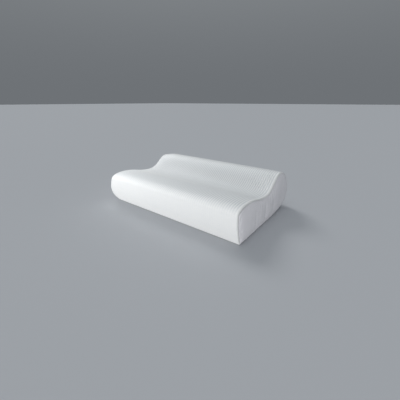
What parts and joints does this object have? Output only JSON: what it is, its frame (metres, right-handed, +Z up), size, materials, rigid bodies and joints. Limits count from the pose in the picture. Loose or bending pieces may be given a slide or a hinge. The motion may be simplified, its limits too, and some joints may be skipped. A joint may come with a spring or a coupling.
{
  "type": "contour bed pillow",
  "caption": "Contoured foam bed pillow with a low front lobe, a neck hollow and a high rear lobe, in a zipped ribbed knit cover.",
  "frame": {"origin": "middle of the underside of the object's box: Z = 0 is the surface the pillow lies on", "axes": "+Z up, +X along the pillow's length towards the end where the zip is closed, -Y towards the low front lobe"},
  "size_m": [0.5, 0.3382, 0.132],
  "materials": {
    "ribbed_knit": "matte",
    "plain_knit": "matte",
    "liner_jersey": "matte",
    "memory_foam": "matte",
    "sewing_thread": "satin",
    "zip_tape": "matte",
    "zip_coil": "satin",
    "plated_zinc": "satin",
    "satin_label": "satin"
  },
  "bodies": {
    "pillow": {"foam_core": "memory_foam", "liner_sleeve": "liner_jersey", "liner_left_end": "liner_jersey", "liner_right_end": "liner_jersey", "liner_left_seam_thread": "sewing_thread", "liner_right_seam_thread": "sewing_thread", "cover_main_panel": "ribbed_knit", "cover_base_panel": "plain_knit", "cover_left_end_panel": "plain_knit", "cover_right_end_panel": "plain_knit", "cover_left_seam_thread": "sewing_thread", "cover_right_seam_thread": "sewing_thread", "cover_front_seam_thread": "sewing_thread", "care_label": "satin_label", "zip_tape_upper": "zip_tape", "zip_tape_lower": "zip_tape", "zip_coil_upper": "zip_coil", "zip_coil_lower": "zip_coil", "zip_topstitch_upper": "sewing_thread", "zip_topstitch_lower": "sewing_thread", "zip_top_stop": "plated_zinc", "zip_bottom_stop": "plated_zinc", "zip_tack_left": "sewing_thread", "zip_tack_right": "sewing_thread"},
    "zip_slider": {"zip_slider": "plated_zinc"},
    "zip_pull": {"zip_pull": "plated_zinc"}
  },
  "joints": [
    {"name": "zip_slide", "type": "slide", "parent": "pillow", "child": "zip_slider", "axis": [-1, 0, 0], "range_m": [0, 0.431]},
    {"name": "pull_swing", "type": "hinge", "parent": "zip_slider", "child": "zip_pull", "pos_m": [0.2158, 0.1673, 0.045], "axis": [0, 0, -1], "range_deg": [0, 180]}
  ]
}
